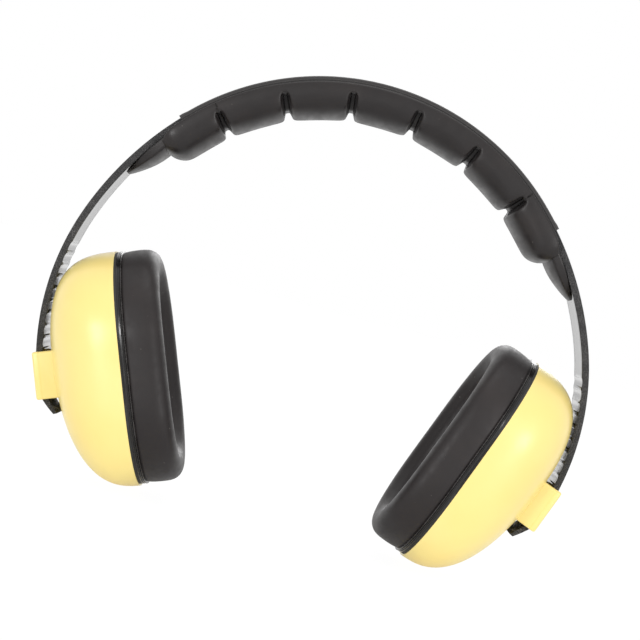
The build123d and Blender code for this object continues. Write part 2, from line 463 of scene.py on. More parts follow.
class Surface:
    """A material, or the world, under construction."""

    def __init__(self, name: str, world: bpy.types.World | None = None) -> None:
        """Start a material, or take over a world, with an empty node tree.

        Args:
            name: The material's name.
            world: The world to take over, where it isn't a material.
        """
        self.material = world or bpy.data.materials.new(name)
        self.material.use_nodes = True
        self.tree = self.material.node_tree
        self.tree.nodes.clear()

    def node(
        self, kind: str, settings: dict[str, Any] | None = None, inputs: dict | None = None
    ) -> list[Value]:
        """Add a node.

        Args:
            kind: The node's type.
            settings: The node's own properties, or a ramp's stops, set before the inputs.
            inputs: Numbers, colours or values for its sockets, by name or number.

        Returns:
            The node's output sockets.
        """
        node = self.tree.nodes.new(kind)
        for key, value in (settings or {}).items():
            if key == "stops":
                ramp = node.color_ramp
                while len(ramp.elements) < len(value):
                    ramp.elements.new(0.5)
                for element, (place, tint) in zip(ramp.elements, value):
                    element.position = place
                    element.color = tint
            else:
                setattr(node, key, value)
        for key, value in (inputs or {}).items():
            if isinstance(value, Value):
                self.tree.links.new(value.socket, node.inputs[key])
            else:
                node.inputs[key].default_value = value
        return [Value(self, socket) for socket in node.outputs if socket.enabled]

    def place(self) -> Value:
        """Return the point's place in the object, in metres."""
        return self.node("ShaderNodeTexCoord")[3]

    def flat_place(self) -> Value:
        """Return where the point lay before the piece was bent, in metres."""
        settings = {"attribute_type": "GEOMETRY", "attribute_name": "flat"}
        return self.node("ShaderNodeAttribute", settings)[1]

    def axes(self, place: Value) -> list[Value]:
        """Return the three parts of a place."""
        return self.node("ShaderNodeSeparateXYZ", {}, {0: place})

    def stretched(self, place: Value, scale: Point) -> Value:
        """Return a place scaled along its axes, so that a pattern on it is drawn out."""
        return self.node("ShaderNodeVectorMath", {"operation": "MULTIPLY"}, {0: place, 1: scale})[0]

    def noise(self, place: Value, scale: float, detail: float = 3.0, rough: float = 0.5) -> Value:
        """Return a noise from 0 to 1, with so many features in a metre."""
        inputs = {"Vector": place, "Scale": scale, "Detail": detail, "Roughness": rough}
        return self.node("ShaderNodeTexNoise", {}, inputs)[0]

    def cells(self, place: Value, scale: float) -> Value:
        """Return the distance to the nearest cell's middle."""
        return self.node("ShaderNodeTexVoronoi", {}, {"Vector": place, "Scale": scale})[0]

    def mix(self, share: Value, first: Any, second: Any) -> Value:
        """Return a mix of two colours, the second where share is 1."""
        settings = {"data_type": "RGBA"}
        return self.node("ShaderNodeMix", settings, {0: share, 6: first, 7: second})[0]

    def bump(self, height: Value, depth_mm: float, strength: float = 1.0) -> Value:
        """Return a normal pushed about by a height, as deep as stated in millimetres."""
        inputs = {"Height": height, "Distance": depth_mm * MM, "Strength": strength}
        return self.node("ShaderNodeBump", {}, inputs)[0]

    def close(self, **sockets: Any) -> bpy.types.Material:
        """Feed a Principled shader and finish the material.

        Args:
            **sockets: Its inputs by name, with _ for a space.

        Returns:
            The material.
        """
        inputs = {key.replace("_", " "): value for key, value in sockets.items()}
        shader = self.node("ShaderNodeBsdfPrincipled", {}, inputs)[0]
        self.node("ShaderNodeOutputMaterial", {}, {"Surface": shader})
        return self.material


# Finishes
@dataclass(frozen=True)
class CupPlastic:
    """Pale yellow moulded plastic: satin, with a faint moulding texture and slight colour drift."""

    body: Point = (255, 230, 141)
    pale: Point = (255, 234, 149)

    def make(self) -> bpy.types.Material:
        """Return the material.

        Returns:
            The material.
        """
        s = Surface("cup_yellow_plastic")
        place = s.place()
        drift = s.noise(place, 38, 2).ramp(0.35, 0.65)
        grain = s.noise(place, 1500, 2)
        wear = s.noise(place, 420, 4, 0.6)
        height = grain + 0.4 * s.cells(place, 2200)
        return s.close(
            Base_Color=s.mix(drift, colour(*self.body), colour(*self.pale)),
            Roughness=wear.ramp(0.3, 0.7, 0.3, 0.38),
            Normal=s.bump(height, 0.012, 0.5),
            IOR=1.5,
            Coat_Weight=0.4,
            Coat_Roughness=0.3,
        )


@dataclass(frozen=True)
class GlossBlack:
    """Glossy black moulding of the cushion plate, with faint turning lines and dust."""

    body: Point = (24, 22, 21)
    dust: Point = (92, 88, 84)

    def make(self) -> bpy.types.Material:
        """Return the material.

        Returns:
            The material.
        """
        s = Surface("plate_black_plastic")
        place = s.place()
        specks = s.noise(place, 1900, 2).ramp(0.70, 0.76)
        scuffs = s.noise(s.stretched(place, (1, 3, 1)), 300, 4, 0.65)
        return s.close(
            Base_Color=s.mix(specks * 0.5, colour(*self.body), colour(*self.dust)),
            Roughness=scuffs.ramp(0.35, 0.75, 0.13, 0.3),
            Normal=s.bump(scuffs, 0.01, 0.3),
            IOR=1.5,
        )


@dataclass(frozen=True)
class BandPlastic:
    """Black sprung band: smooth faces with lengthwise streaks, and sawn, speckled edges."""

    body: Point = (21, 21, 22)
    chalk: Point = (116, 114, 114)
    half_width: float = 9.55 * MM
    tail_from: float = 173.9 * MM

    def make(self) -> bpy.types.Material:
        """Return the material.

        Returns:
            The material.
        """
        s = Surface("band_black_plastic")
        place = s.flat_place()
        along, across, _ = s.axes(place)
        edge = (abs(across) > self.half_width) + (abs(along) > self.tail_from) > 0.5
        speckle = s.noise(place, 2600, 3, 0.7).ramp(0.42, 0.66)
        patches = s.noise(s.stretched(place, (1, 1, 0.5)), 240, 3, 0.6).ramp(0.3, 0.75, 0.35, 1.0)
        streaks = s.noise(s.stretched(place, (0.06, 1, 1)), 1500, 3, 0.6)
        rough_face = streaks.ramp(0.3, 0.7, 0.06, 0.16)
        rough = rough_face + edge * (0.7 - rough_face)
        height = edge * speckle * 1.0 + (1 - edge) * streaks * 0.12
        dusty = edge * speckle * patches * 0.75
        return s.close(
            Base_Color=s.mix(dusty, colour(*self.body), colour(*self.chalk)),
            Roughness=rough,
            Normal=s.bump(height, 0.05, 0.8),
            IOR=1.5,
            Coat_Weight=(1 - edge) * 0.7,
            Coat_Roughness=0.2,
            Coat_IOR=1.75,
        )


@dataclass(frozen=True)
class SleeveVinyl:
    """Dark sleeve with fine lengthwise ribs on its edge and a leathery face; the rib crests on the
    edge are painted lighter as a painted highlight.
    """

    body: Point = (40, 38, 38)
    # Lighter tone of the edge's rib crests, a painted highlight colour, which patches of wear also
    # take
    rib: Point = (74, 71, 70)
    ribs_per_metre: float = 1250.0
    half_width: float = 11.6 * MM

    def make(self) -> bpy.types.Material:
        """Return the material.

        Returns:
            The material.
        """
        s = Surface("sleeve_vinyl")
        place = s.flat_place()
        _, across, up = s.axes(place)
        side = abs(across) > self.half_width
        ribs = up.wave(self.ribs_per_metre) * 0.5 + 0.5
        grain = s.cells(place, 1500)
        wear = s.noise(place, 300, 4, 0.6)
        # Painted highlight along the rib crests of the sleeve's edge, plus lighter patches of real
        # wear
        light = side * ribs * 0.55 + wear.ramp(0.55, 0.8) * 0.25
        return s.close(
            Base_Color=s.mix(light, colour(*self.body), colour(*self.rib)),
            Roughness=wear.ramp(0.3, 0.7, 0.42, 0.6),
            Normal=s.bump(side * ribs + (1 - side) * grain * 0.35, 0.09, 0.7),
            IOR=1.45,
            Sheen_Weight=0.08,
            Sheen_Roughness=0.5,
        )


@dataclass(frozen=True)
class SoftVinyl:
    """Soft charcoal vinyl over foam: a fine leather grain, slight creases, a little lint and soft
    lighter patches of painted sheen.
    """

    name: str
    body: Point
    # Lighter brownish tone of the soft patches: a painted sheen colour
    crest: Point = (78, 66, 60)
    lint: Point = (150, 144, 138)
    roughness: float = 0.5
    bent: bool = False

    def make(self) -> bpy.types.Material:
        """Return the material.

        Returns:
            The material.
        """
        s = Surface(self.name)
        place = s.flat_place() if self.bent else s.place()
        # Soft random patches mixed towards the crest tone are painted sheen
        painted_sheen = s.noise(place, 60, 3, 0.55).ramp(0.4, 0.75)
        grain = s.cells(place, 1900)
        crease = s.noise(s.stretched(place, (1, 0.35, 1)), 260, 4, 0.6)
        fluff = s.noise(place, 1150, 1).ramp(0.795, 0.82)
        tint = s.mix(painted_sheen * 0.4, colour(*self.body), colour(*self.crest))
        return s.close(
            Base_Color=s.mix(fluff * 0.6, tint, colour(*self.lint)),
            Roughness=crease.ramp(0.3, 0.7, self.roughness - 0.06, self.roughness + 0.07),
            Normal=s.bump(grain * 0.5 + crease * 0.5, 0.03, 0.45),
            IOR=1.43,
            Sheen_Weight=0.04,
            Sheen_Roughness=0.4,
        )


@dataclass(frozen=True)
class WeldEdge:
    """Pressed vinyl edge, thinner and shinier than the skin."""

    body: Point = (58, 55, 54)
    dark: Point = (32, 29, 28)

    def make(self) -> bpy.types.Material:
        """Return the material.

        Returns:
            The material.
        """
        s = Surface("weld_edge_vinyl")
        place = s.place()
        patch = s.noise(place, 190, 3, 0.6).ramp(0.4, 0.62)
        dents = s.noise(place, 1400, 2)
        return s.close(
            Base_Color=s.mix(patch, colour(*self.dark), colour(*self.body)),
            Roughness=dents.ramp(0.3, 0.7, 0.16, 0.32),
            Normal=s.bump(dents, 0.04, 0.5),
            IOR=1.5,
        )


@dataclass(frozen=True)
class Foam:
    """Open-cell foam, its pores painted darker as painted shade."""

    name: str
    body: Point
    cell: float = 900.0

    def make(self) -> bpy.types.Material:
        """Return the material.

        Returns:
            The material.
        """
        s = Surface(self.name)
        place = s.place()
        cells = s.cells(place, self.cell)
        tone = s.noise(place, 120, 3)
        # The cell middles, where the pores open, are painted darker as painted shade; random darker
        # patches vary the tone
        dark = tuple(round(c * 0.45) for c in self.body)
        pore_shading_and_tone = cells.ramp(0.1, 0.6) * tone.ramp(0.2, 0.6)
        return s.close(
            Base_Color=s.mix(pore_shading_and_tone, colour(*dark), colour(*self.body)),
            Roughness=tone.ramp(0.2, 0.8, 0.85, 1.0),
            Normal=s.bump(cells, 0.4, 0.8),
        )


@dataclass(frozen=True)
class LinerCloth:
    """Thin black woven cloth over the cup's foam."""

    body: Point = (28, 28, 29)
    thread: Point = (58, 57, 57)
    threads_per_metre: float = 1100.0

    def make(self) -> bpy.types.Material:
        """Return the material.

        Returns:
            The material.
        """
        s = Surface("liner_cloth_black")
        place = s.place()
        _, across, up = s.axes(place)
        weave = (across.wave(self.threads_per_metre) * up.wave(self.threads_per_metre)) * 0.5 + 0.5
        fuzz = s.noise(place, 1700, 3)
        return s.close(
            Base_Color=s.mix(weave * fuzz.ramp(0.2, 0.8), colour(*self.body), colour(*self.thread)),
            Roughness=fuzz.ramp(0.2, 0.8, 0.75, 0.95),
            Normal=s.bump(weave + fuzz * 0.4, 0.12, 0.8),
            Sheen_Weight=0.3,
            Sheen_Roughness=0.4,
        )


@dataclass(frozen=True)
class PlainTrim:
    """Hidden board and rubber: a plain tone with a moulded or pressed grain."""

    name: str
    body: Point
    roughness: float

    def make(self) -> bpy.types.Material:
        """Return the material.

        Returns:
            The material.
        """
        s = Surface(self.name)
        place = s.place()
        grain = s.noise(place, 700, 4, 0.6)
        light = tuple(min(255, round(c * 1.35) + 6) for c in self.body)
        return s.close(
            Base_Color=s.mix(grain.ramp(0.35, 0.7), colour(*self.body), colour(*light)),
            Roughness=grain.ramp(0.3, 0.7, self.roughness - 0.08, self.roughness + 0.08),
            Normal=s.bump(grain, 0.04, 0.6),
        )


class Finishes:
    """Every finish of the object, made once."""

    def __init__(self) -> None:
        """Make the materials."""
        self.cup = CupPlastic().make()
        self.plate = GlossBlack().make()
        self.band = BandPlastic().make()
        self.sleeve = SleeveVinyl().make()
        # The second colour of each vinyl is the tone of its painted sheen patches
        pad = SoftVinyl("pad_vinyl_charcoal", (29, 25, 25), (47, 40, 38), roughness=0.4, bent=True)
        self.pad = pad.make()
        self.cushion = SoftVinyl("cushion_vinyl_charcoal", (31, 26, 26), (46, 39, 37)).make()
        self.weld = WeldEdge().make()
        self.cloth = LinerCloth().make()
        self.cushion_foam = Foam("cushion_foam_grey", (92, 92, 94)).make()
        self.cup_foam = Foam("cup_foam_black", (60, 60, 62), 600).make()
        self.nodes = {
            "head_pad_backing": PlainTrim("backing_board_grey", (88, 84, 80), 0.7).make(),
            "cup_seal": PlainTrim("seal_rubber_black", (26, 26, 27), 0.6).make(),
        }

    def dress_nodes(self) -> None:
        """Give the kept pieces of the frame their finish."""
        for name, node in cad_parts.items():
            for stem, material in self.nodes.items():
                if name.startswith(stem):
                    node.data.materials.clear()
                    node.data.materials.append(material)
                    LOG.info("%s keeps its shape, in %s", name, material.name)


# Headband geometry
@dataclass(frozen=True)
class BandPath:
    """The outer face of the headband: three tangent arcs a side.

    A station is the angle between +Z and the outward normal, in degrees, and an inset is the depth
    below the outer face. In the flat, X is the length along the outer face from the crown and Z is
    minus the inset.
    """

    crown_radius: float = 84.3
    crown_end: float = 44.5
    shoulder_radius: float = 106.0
    shoulder_end: float = 70.2
    arm_radius: float = 85.5
    last: float = 125.0
    lift: float = 64.2324
    flex_from: float = 41.5
    flex_to: float = 56.0
    flex_inset: float = 3.0
    knots_per_arc: int = 4
    steps_per_knot: int = 48
    least_handle: float = 0.1

    def centres(self) -> list[tuple[float, float]]:
        """Return the centres of the crown, shoulder and arm arcs in X and Z.

        Returns:
            The centres, from the crown outwards.
        """
        places = [(0.0, self.lift)]
        steps = (
            (self.shoulder_radius - self.crown_radius, self.crown_end),
            (self.arm_radius - self.shoulder_radius, self.shoulder_end),
        )
        for step, station in steps:
            x, z = places[-1]
            turn = radians(station)
            places.append((x - step * sin(turn), z - step * cos(turn)))
        return places

    def arc(self, station: float) -> tuple[tuple[float, float], float]:
        """Return the centre and radius of the arc that holds a station.

        Args:
            station: The station, in degrees.

        Returns:
            The arc's centre and radius.
        """
        crown, shoulder, arm = self.centres()
        if station <= self.crown_end:
            return crown, self.crown_radius
        if station <= self.shoulder_end:
            return shoulder, self.shoulder_radius
        return arm, self.arm_radius

    def point(self, station: float, inset: float = 0.0) -> Vector:
        """Return the point at a station and inset. Negative stations are on the -X side.

        Args:
            station: The station, in degrees.
            inset: The depth below the outer face.

        Returns:
            The point, in millimetres.
        """
        (x, z), radius = self.arc(abs(station))
        turn = radians(abs(station))
        side = 1 if station >= 0 else -1
        reach = radius - inset
        return Vector((side * (x + reach * sin(turn)), 0, z + reach * cos(turn)))

    def along(self, station: float) -> float:
        """Return the length along the outer face from the crown to a station.

        Args:
            station: The station, in degrees.

        Returns:
            The length, below 0 on the -X side.
        """
        size = abs(station)
        shoulder = min(size, self.shoulder_end) - self.crown_end
        length = self.crown_radius * radians(min(size, self.crown_end))
        length += self.shoulder_radius * radians(max(0.0, shoulder))
        length += self.arm_radius * radians(max(0.0, size - self.shoulder_end))
        return length if station >= 0 else -length

    def stops(self) -> list[float]:
        """Return the stations of the bending curve's points on one side.

        Returns:
            The stations, from the crown to the band's end.
        """
        ends = [0.0, self.crown_end, self.shoulder_end, self.last]
        stations = []
        for a, b in zip(ends, ends[1:]):
            stations += [a + (b - a) * i / self.knots_per_arc for i in range(self.knots_per_arc)]
        return [*stations, self.last]

    def curve(self) -> bpy.types.Object:
        """Return the curve that flat pieces are bent along.

        Returns:
            The curve.
        """
        right = self.stops()
        stations = [-s for s in reversed(right[1:])] + right
        data = bpy.data.curves.new("band_line", "CURVE")
        data.dimensions = "3D"
        data.twist_mode = "MINIMUM"
        data.resolution_u = self.steps_per_knot
        spline = data.splines.new("BEZIER")
        spline.bezier_points.add(len(stations) - 1)
        for i, (knot, station) in enumerate(zip(spline.bezier_points, stations)):
            place = self.point(station)
            turn = radians(station)
            ahead = Vector((cos(turn), 0, -sin(turn)))
            reach = []
            for other in (stations[max(i - 1, 0)], stations[min(i + 1, len(stations) - 1)]):
                _, radius = self.arc(abs((station + other) / 2))
                reach.append(4 / 3 * tan(radians(abs(other - station)) / 4) * radius)
            knot.co = place
            knot.handle_left = place - ahead * max(reach[0], self.least_handle)
            knot.handle_right = place + ahead * max(reach[1], self.least_handle)
            knot.tilt = pi
        line = bpy.data.objects.new("band_line", data)
        bpy.context.collection.objects.link(line)
        return line

    def bend(self, piece: bpy.types.Object, line: bpy.types.Object) -> None:
        """Bend a flat piece along the band.

        Args:
            piece: The piece.
            line: The curve that flat pieces are bent along.
        """
        Bench.keep_flat_place(piece)
        piece.data.transform(Matrix.Translation((self.along(self.last), 0, 0)))
        Bench.modify(piece, "CURVE", object=line, deform_axis="POS_X")

    def settle(self, piece: bpy.types.Object, side: Side | None) -> None:
        """Turn a bent piece into metres, and tie a piece of the crown to the crown.

        Args:
            piece: The piece.
            side: The side of the head, or None for a piece of the crown.
        """
        piece.data.transform(Matrix.Scale(MM, 4))
        if side is None:
            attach(piece, "crown")
            return
        start = self.point(side.value * self.flex_from, self.flex_inset) * MM
        end = self.point(side.value * self.flex_to, self.flex_inset) * MM
        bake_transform(piece)


def dress(piece: bpy.types.Object, material: bpy.types.Material, slot: Slot) -> None:
    """Give a piece its material, and report it.

    Args:
        piece: The piece.
        material: Its material.
        slot: Not used.
    """
    piece.data.materials.clear()
    piece.data.materials.append(material)
    LOG.info("%s: %d faces, %s", piece.name, len(piece.data.polygons), material.name)


# Headband and its sleeve
@dataclass
class Headband:
    """The sprung band with its detents and hooked tails, and the sleeve it is drawn through."""

    path: BandPath
    width: float = 20.0
    thickness: float = 2.3
    face_length: float = 1.6
    edge_bevel: float = 0.35
    edge_steps: int = 3
    detent_pitch: float = 2.8
    detent_count: int = 12
    detent_start: float = 78.4
    detent_radius: float = 6.4
    detent_depth: float = 0.26
    detent_sides: int = 64
    tail_start: float = 110.8
    tail_length: float = 9.2
    tail_drop: float = 3.2
    tail_thickness: float = 1.2
    tail_steps: int = 6
    tail_curl: float = 1.4
    tail_narrowing: float = 0.985
    hook_step: Point = (0.4, 0.0, -1.0)
    hook_size: Point = (0.45, 0.9, 0.6)
    hook_drop: float = 1.6
    hook_root_slope: float = 0.3
    hook_root_side: float = 0.5
    sleeve_station: float = 47.8
    sleeve_turn: float = 1.3
    sleeve_width: float = 24.5
    sleeve_top: float = 0.5
    sleeve_bottom: float = 2.95
    sleeve_wall: float = 0.55
    sleeve_face_length: float = 1.5
    sleeve_bevel: float = 0.9
    sleeve_steps: int = 5
    hem_length: float = 2.6
    hem_height: float = 0.18
    hem_ramp: float = 0.3
    hem_side: float = 0.4
    smooth_angle: float = 40.0

    def detents(self) -> bpy.types.Object:
        """Return the row of cutters for one arm, in the flat.

        Returns:
            The cutters, joined.
        """
        rows = []
        for i in range(self.detent_count):
            x = self.path.along(self.detent_start + i * self.detent_pitch)
            z = -self.thickness + self.detent_depth - self.detent_radius
            long, sides = 2 * self.width, self.detent_sides
            rows.append(Bench.rod("detent", self.detent_radius, long, (x, 0, z), sides))
        Bench.pick(rows[0])
        for row in rows:
            row.select_set(True)
        bpy.ops.object.join()
        return rows[0]

    def tail(self, piece: bpy.types.Object, end: float) -> None:
        """Draw the band's end out into a thin tail that bends inwards, with a hook at its tip.

        Args:
            piece: The piece.
            end: Where the band's full thickness ends, along X.
        """
        steps = self.tail_steps
        ratio = (self.tail_thickness / self.thickness) ** (1 / steps)
        with Bench.editing(piece):
            Bench.choose(piece, "FACE", lambda c, n: n.x > FACING and c.x > end - NEAR)
            height = -self.thickness / 2
            for i in range(steps):
                bow = (i + 1) ** self.tail_curl - i**self.tail_curl
                drop = self.tail_drop * bow / steps**self.tail_curl
                height -= drop
                Bench.extrude((self.tail_length / steps, 0, -drop))
                bpy.ops.transform.resize(
                    value=(1, self.tail_narrowing, ratio), center_override=(end, 0, height)
                )
            hook_from = end + self.tail_length * (steps - 2) / steps
            hook_to = end + self.tail_length * (steps - 1) / steps

            def under_tip(c: Vector, n: Vector) -> bool:
                """Return whether a face is the one under the tip that the hook grows from."""
                below = n.z < -self.hook_root_slope and abs(n.y) < self.hook_root_side
                return below and hook_from < c.x < hook_to

            Bench.choose(piece, "FACE", under_tip)
            Bench.extrude(self.hook_step)
            middle = (hook_to, 0, height - self.hook_drop)
            bpy.ops.transform.resize(value=self.hook_size, center_override=middle)

    def band(self, side: Side) -> bpy.types.Object:
        """Return one half of the band, from crown to tail, in the flat, as if on the +X side.

        Args:
            side: The side of the head.

        Returns:
            The half band.
        """
        end = self.path.along(self.tail_start)
        name = f"headband_{side.word}"
        piece = Bench.slab(name, 0, end, 0, -self.thickness, self.width, self.face_length)
        self.tail(piece, end)
        half = self.width / 2

        def long_edge(c: Vector, d: Vector) -> bool:
            """Return whether an edge is one of the four long ones, short of the tail."""
            beside = abs(abs(c.y) - half) < NEAR and c.x < end
            return abs(d.x) > ALONG and beside and (c.z > -NEAR or c.z < NEAR - self.thickness)

        Bench.round_edges(piece, long_edge, self.edge_bevel, self.edge_steps)
        Bench.cut(piece, self.detents())
        return piece

    def sleeve(self, side: Side) -> bpy.types.Object:
        """Return one half of the sleeve, open at both ends, in the flat, as if on the +X side.

        Args:
            side: The side of the head.

        Returns:
            The half sleeve.
        """
        end = self.path.along(self.sleeve_station + side.value * self.sleeve_turn)
        half, top, low = self.sleeve_width / 2, self.sleeve_top, -self.sleeve_bottom
        name = f"sleeve_{side.word}"
        piece = Bench.slab(name, 0, end, top, low, self.sleeve_width, self.sleeve_face_length)

        def corner(c: Vector, d: Vector) -> bool:
            """Return whether an edge is one of the long ones at the sleeve's sides."""
            return abs(d.x) > ALONG and abs(abs(c.y) - half) < NEAR

        Bench.round_edges(piece, corner, self.sleeve_bevel, self.sleeve_steps)
        with Bench.editing(piece):
            Bench.choose(piece, "FACE", lambda c, n: abs(n.x) > FACING)
            bpy.ops.mesh.delete(type="FACE")
        middle = (top + low) / 2
        start = end - self.hem_length

        def hem(at: Vector) -> Vector:
            """Raise the turned hem at the sleeve's end.

            Args:
                at: The point.

            Returns:
                The point, raised.
            """
            rise = self.hem_height * clamp((at.x - start) / self.hem_ramp)
            out = at.y / half * self.hem_side
            up = max((at.z - middle) / (top - middle), 0)
            return at + Vector((0, out * rise, up * rise))

        Bench.mould(piece, hem)
        Bench.modify(
            piece, "SOLIDIFY", thickness=self.sleeve_wall, offset=-1, use_even_offset=True
        )
        return piece

    def build(self, line: bpy.types.Object, finishes: Finishes) -> None:
        """Build the band and the sleeve on both sides.

        Args:
            line: The curve that flat pieces are bent along.
            finishes: The object's finishes.
        """
        for side in Side:
            for piece, material, slot in (
                (self.band(side), finishes.band, Slot.BAND),
                (self.sleeve(side), finishes.sleeve, Slot.SLEEVE),
            ):
                if side is Side.LEFT:
                    Bench.mirror(piece)
                self.path.bend(piece, line)
                Bench.smooth(piece, self.smooth_angle)
                dress(piece, material, slot)
                self.path.settle(piece, side)
                if slot is Slot.BAND:
                    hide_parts(f"headband_arm_{side.word}", "headband_crown")
                else:
                    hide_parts("headband_cover")


# Soft pieces
@dataclass(frozen=True)
class Inflation:
    """Cloth simulation that swells a closed skin between its welds."""

    pressure: float = 4.0
    frames: int = 20
    bench_scale: float = 0.02
    stiffness: float = 18.0
    bending: float = 2.0
    mass: float = 0.3
    quality: int = 6

    def run(self, piece: bpy.types.Object, cap: float, held: Callable[[Vector], float]) -> None:
        """Swell a piece.

        Args:
            piece: The closed mesh, in millimetres.
            cap: The furthest that a point may move, in millimetres.
            held: Returns how firmly a point is held, from 0 to 1.
        """
        rest = [v.co.copy() for v in piece.data.vertices]
        group = piece.vertex_groups.new(name="held")
        for vertex in piece.data.vertices:
            group.add([vertex.index], held(vertex.co), "REPLACE")
        piece.data.transform(Matrix.Scale(self.bench_scale, 4))
        Bench.pick(piece)
        modifier = piece.modifiers.new("swell", "CLOTH")
        cloth = modifier.settings
        cloth.quality = self.quality
        cloth.mass = self.mass
        cloth.use_pressure = True
        cloth.uniform_pressure_force = self.pressure
        cloth.tension_stiffness = cloth.compression_stiffness = self.stiffness
        cloth.shear_stiffness = self.stiffness / 2
        cloth.bending_stiffness = self.bending
        cloth.effector_weights.gravity = 0
        cloth.vertex_group_mass = group.name
        modifier.point_cache.frame_start = 1
        modifier.point_cache.frame_end = self.frames
        for step in range(1, self.frames + 1):
            bpy.context.scene.frame_set(step)
        bpy.ops.object.modifier_apply(modifier=modifier.name)
        bpy.context.scene.frame_set(1)
        piece.data.transform(Matrix.Scale(1 / self.bench_scale, 4))
        furthest = 0.0
        for vertex, start in zip(piece.data.vertices, rest):
            move = vertex.co - start
            furthest = max(furthest, move.length)
            if move.length > cap:
                vertex.co = start + move * (cap / move.length)
        piece.vertex_groups.clear()
        LOG.info("%s swelled by up to %.2f mm", piece.name, min(furthest, cap))


@dataclass
class HeadPad:
    """The welded head pad: seven pillows parted by pinched notches, with a tongue at each end.

    The skin's long edges stand up beside the sleeve. A piece of the -X side is made as if on the
    +X side, and then mirrored.
    """

    path: BandPath
    width: float = 30.0
    edge_top: float = 0.75
    edge_share: float = 0.25
    edge_tuck: float = 0.6
    bed_top: float = 3.0
    bed_half: float = 12.5
    bed_gap: float = 0.25
    bottom: float = 12.25
    pitch: float = 15.9
    count: int = 7
    turn: float = 0.95
    end_station: float = 53.2
    notch_width: float = 2.3
    notch_rise: float = 2.6
    notch_side: float = 2.8
    notch_shoulder: float = 5.8
    notch_from: float = 0.34
    notch_fade: float = 0.2
    notch_blur: float = 0.3
    flank_slope: float = 2.4
    corner: float = 2.4
    corner_drop: float = 0.36
    corner_pull: float = 0.3
    nose: float = 8.5
    nose_top: float = 4.2
    nose_end: float = 0.9
    nose_rise: float = 2.6
    nose_round: float = 3.2
    nose_taper: float = 0.26
    lap: float = 0.7
    crown: float = 0.8
    crown_power: float = 2.4
    crown_across: float = 0.72
    crowding: float = 0.72
    swell_cap: float = 0.4
    columns: int = 30
    layers: int = 10
    rows: int = 22
    edge_rows: float = 1.5
    weld_depth: float = 0.4
    weld_side: float = 0.2
    tongue_start: float = 48.5
    tongue_tip: float = 61.0
    tongue_width: float = 25.0
    tongue_top: float = 2.4
    tongue_depth: float = 4.9
    tongue_rim: float = 0.35
    tongue_thin: float = 0.14
    tongue_flat: float = 0.68
    tongue_faces: tuple[int, int, int] = (34, 20, 5)
    tongue_round: float = 2.4
    tongue_plump: tuple[float, float] = (3.4, 0.7)
    tongue_rise: float = 1.05
    tongue_edge: float = 0.4
    fill_middle: float = 0.62
    fill_end: float = 0.7
    fill_tongue: float = 0.35
    smooth_angle: float = 60.0
    inflation: Inflation = Inflation(pressure=3.0)

    def notches(self, side: Side) -> list[float]:
        """Return where the notches lie along the outer face, seen from one side.

        Args:
            side: The side of the head.

        Returns:
            Their places, from -X to +X.
        """
        half = self.count / 2
        stations = [(i - half) * self.pitch + side.value * self.turn for i in range(1, self.count)]
        return [self.path.along(station) for station in stations]

    def section(self, across: float, down: float, cut: float, lift: float) -> tuple[float, float]:
        """Return the place across and the depth of a point of the pad's cross-section.

        Args:
            across: From -1 at the front to 1 at the back.
            down: From 0 at the sleeve to 1 at the crest.
            cut: How far the point is pinched towards the notch's section, from 0 to 1.
            lift: How far the crest is pulled up there, in millimetres.

        Returns:
            The place across and the depth below the outer face, in millimetres.
        """
        sign = 1 if across > 0 else -1
        power = self.crown_power
        edge = 1 - self.edge_rows / self.rows
        lower = max(0.0, (down - self.edge_share) / (1 - self.edge_share))
        upper = max(0.0, (self.edge_share - down) / self.edge_share)
        half = self.width / 2 - self.edge_tuck * upper**2
        if down == 0 and abs(across) < edge:
            y = across * half
            if abs(y) >= self.bed_half - 1:
                y = sign * min(abs(across) / (edge - 1 / self.rows), 1) * self.bed_half
            return y, self.bed_top
        y = across * half * sqrt(1 - self.crown * lower**power / 2)
        if down == 0:
            y = sign * max(abs(y), self.bed_half + self.bed_gap)
        reach = (self.bottom - self.edge_top) * down
        fall = self.crown * self.crown_across * abs(across) ** power * down**2 / 2
        depth = reach * sqrt(1 - fall)
        pull = ease(clamp((down - self.notch_from) / self.notch_fade))
        y -= sign * cut * self.notch_side * pull * abs(across) ** 3
        return y, self.edge_top + depth - lift * pull * down

    def pinch(self, x: float, notches: Sequence[float]) -> tuple[float, float]:
        """Return how far a point along the pad is pinched, and how far its crest is rounded.

        Args:
            x: The place along the pad.
            notches: Where the notches lie.

        Returns:
            The pinch, from 0 to 1, and the rounding, in millimetres.
        """
        gap = min(abs(x - notch) for notch in notches) - self.notch_width / 2
        near = 1 - clamp(gap / self.corner)
        rounding = self.corner * self.corner_drop * (1 - sqrt(max(0.0, 1 - near * near)))
        return 1 - clamp((gap + self.notch_blur) / (2 * self.notch_blur)), rounding

    def warped(self, share: float, start: float, end: float) -> float:
        """Return a place between two notches, with the columns drawn towards them."""
        t = share - 0.5
        return (start + end) / 2 + (end - start) * (t + self.crowding * sin(2 * pi * t) / (2 * pi))

    @staticmethod
    def block(name: str, columns: int, rows: int, layers: int) -> bpy.types.Object:
        """Return a plain block of small faces, 2 by 2 by 1, to be moulded.

        Args:
            name: The piece's name.
            columns: How many faces it has along X.
            rows: How many faces it has along Y.
            layers: How many faces it has along Z.

        Returns:
            The block.
        """
        Bench.clear()
        bpy.ops.mesh.primitive_grid_add(x_subdivisions=columns, y_subdivisions=rows, size=2)
        piece = Bench.named(name)
        with Bench.editing(piece):
            for _ in range(layers):
                Bench.extrude((0, 0, -1 / layers))
            Bench.face_outwards()
        return piece

    def pillows(
        self, name: str, stops: Sequence[float], notches: Sequence[float], nose: bool
    ) -> bpy.types.Object:
        """Return a run of pillows as one skin, in the flat.

        Args:
            name: The piece's name.
            stops: Where each pillow starts and ends along the outer face.
            notches: Where all the notches lie.
            nose: Whether the last pillow ends in a rounded nose.

        Returns:
            The piece.
        """
        spans = len(stops) - 1
        reach = self.bottom - self.edge_top
        piece = self.block(name, self.columns * spans, self.rows, self.layers)

